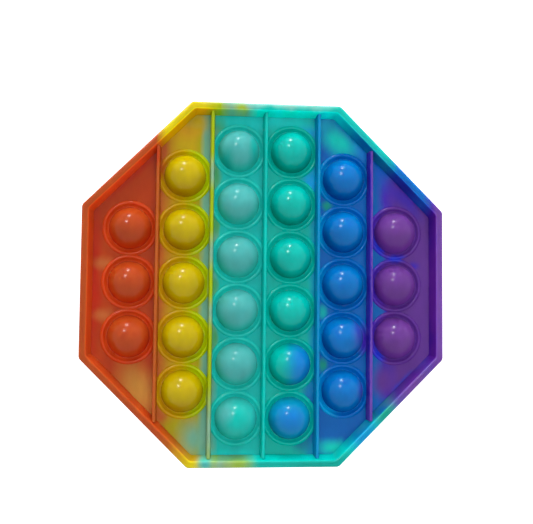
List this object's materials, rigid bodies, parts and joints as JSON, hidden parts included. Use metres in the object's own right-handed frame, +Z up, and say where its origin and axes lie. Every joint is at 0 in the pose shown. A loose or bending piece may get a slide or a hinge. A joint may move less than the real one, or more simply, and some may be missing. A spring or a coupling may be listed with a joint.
{
  "type": "bubble pop fidget toy",
  "caption": "Flexible eight-sided silicone pad with a raised rim, upright ribs and rows of hollow domes that pop through when pressed",
  "frame": {"origin": "centre of the rim's lower face, which the pad rests on", "axes": "+Z up through the domes, +Y along the ribs, +X across the columns of domes"},
  "size_m": [0.125, 0.125, 0.0139],
  "materials": {
    "silicone": "satin"
  },
  "bodies": {
    "root": {"bubble_pad": "silicone"}
  },
  "joints": []
}
